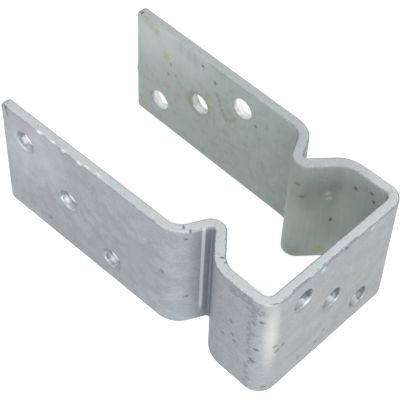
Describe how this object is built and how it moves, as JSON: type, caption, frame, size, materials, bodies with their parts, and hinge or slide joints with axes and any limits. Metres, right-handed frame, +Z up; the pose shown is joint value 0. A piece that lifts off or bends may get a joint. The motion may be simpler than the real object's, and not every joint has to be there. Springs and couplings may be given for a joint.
{
  "type": "post base",
  "caption": "Galvanised flat bar bent into a long U with a pinched neck, with holes on a diagonal in both arms and the web, to hold a timber post on a footing.",
  "frame": {"origin": "on the surface that the part lies on, under the middle of its bounding box", "axes": "+X towards the closed end, along the arms; +Y across the gap, towards the longer arm; +Z up, across the bar's width"},
  "size_m": [0.1927, 0.1077, 0.0762],
  "materials": {
    "galvanised_steel": "hot-dip zinc, dull satin grey"
  },
  "bodies": {
    "root": {"strap": "galvanised_steel"}
  },
  "joints": []
}
